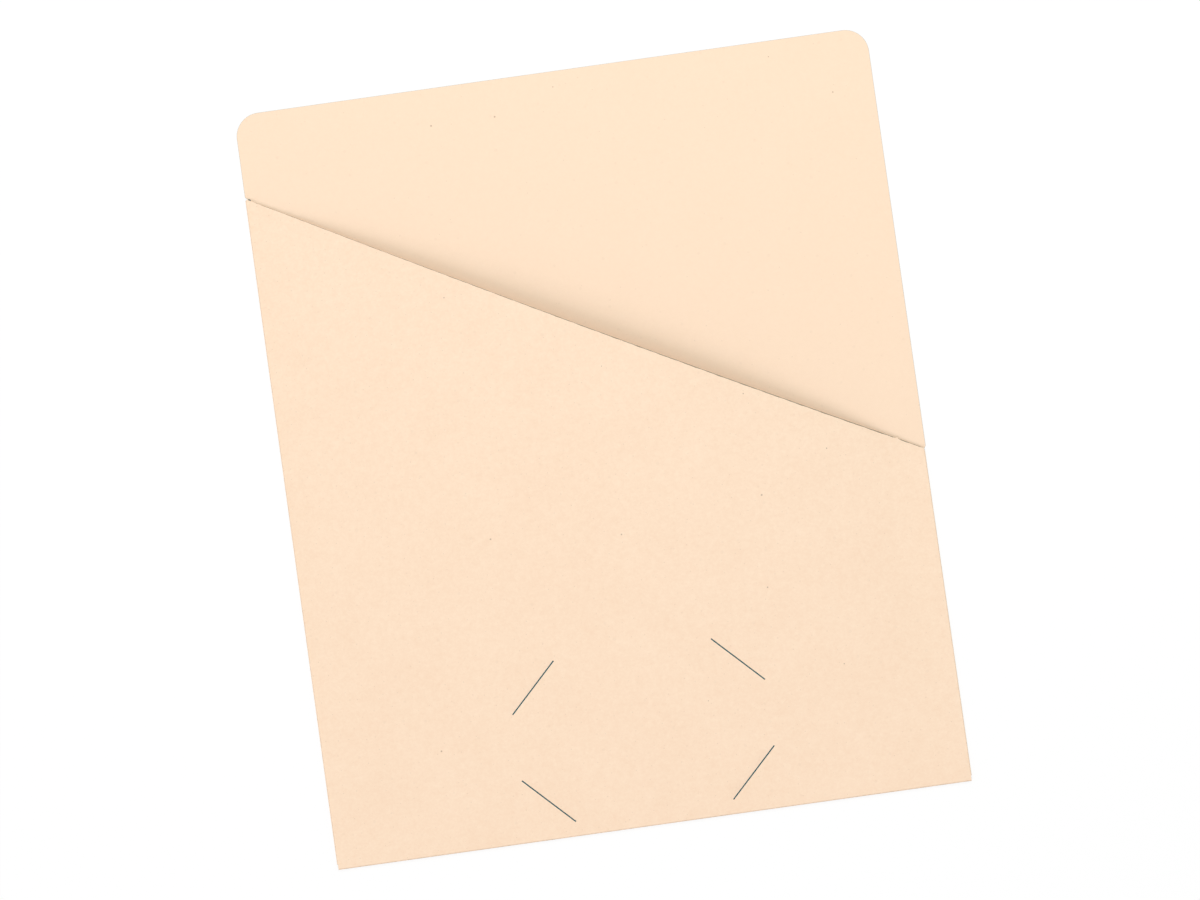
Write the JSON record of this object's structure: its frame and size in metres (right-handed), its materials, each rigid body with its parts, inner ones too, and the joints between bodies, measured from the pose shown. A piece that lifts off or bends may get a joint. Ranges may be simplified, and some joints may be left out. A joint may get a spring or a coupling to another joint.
{
  "type": "slash pocket folder",
  "caption": "Letter-size manila file folder with a slanted front pocket open at the top, glued sides, a folded bottom and corner slits in the front that hold a business card.",
  "frame": {"origin": "centre of the overall box, on the surface that the back rests on", "axes": "+X to the right across the front, +Y up the folder towards the top edge, +Z out of the front, up when it lies on its back"},
  "size_m": [0.2414, 0.287, 0.008],
  "materials": {
    "board": "uncoated manila board, matte, faint fibre mottling",
    "crease": "scored and folded manila board, fibres slightly raised",
    "glue": "dried paper glue, hidden between flap and front"
  },
  "bodies": {
    "back": {"back_panel": "board", "bottom_fold": "crease", "left_fold": "crease", "right_fold": "crease"},
    "front": {"front_panel": "board", "left_glue_flap": "board", "right_glue_flap": "board", "left_glue_line": "glue", "right_glue_line": "glue"}
  },
  "joints": [
    {"name": "bottom_crease", "type": "hinge", "parent": "back", "child": "front", "pos_m": [0, -0.143, 0.0005], "axis": [1, 0, 0], "range_deg": [0, 6], "stiffness_Nm_per_rad": 0.3}
  ]
}
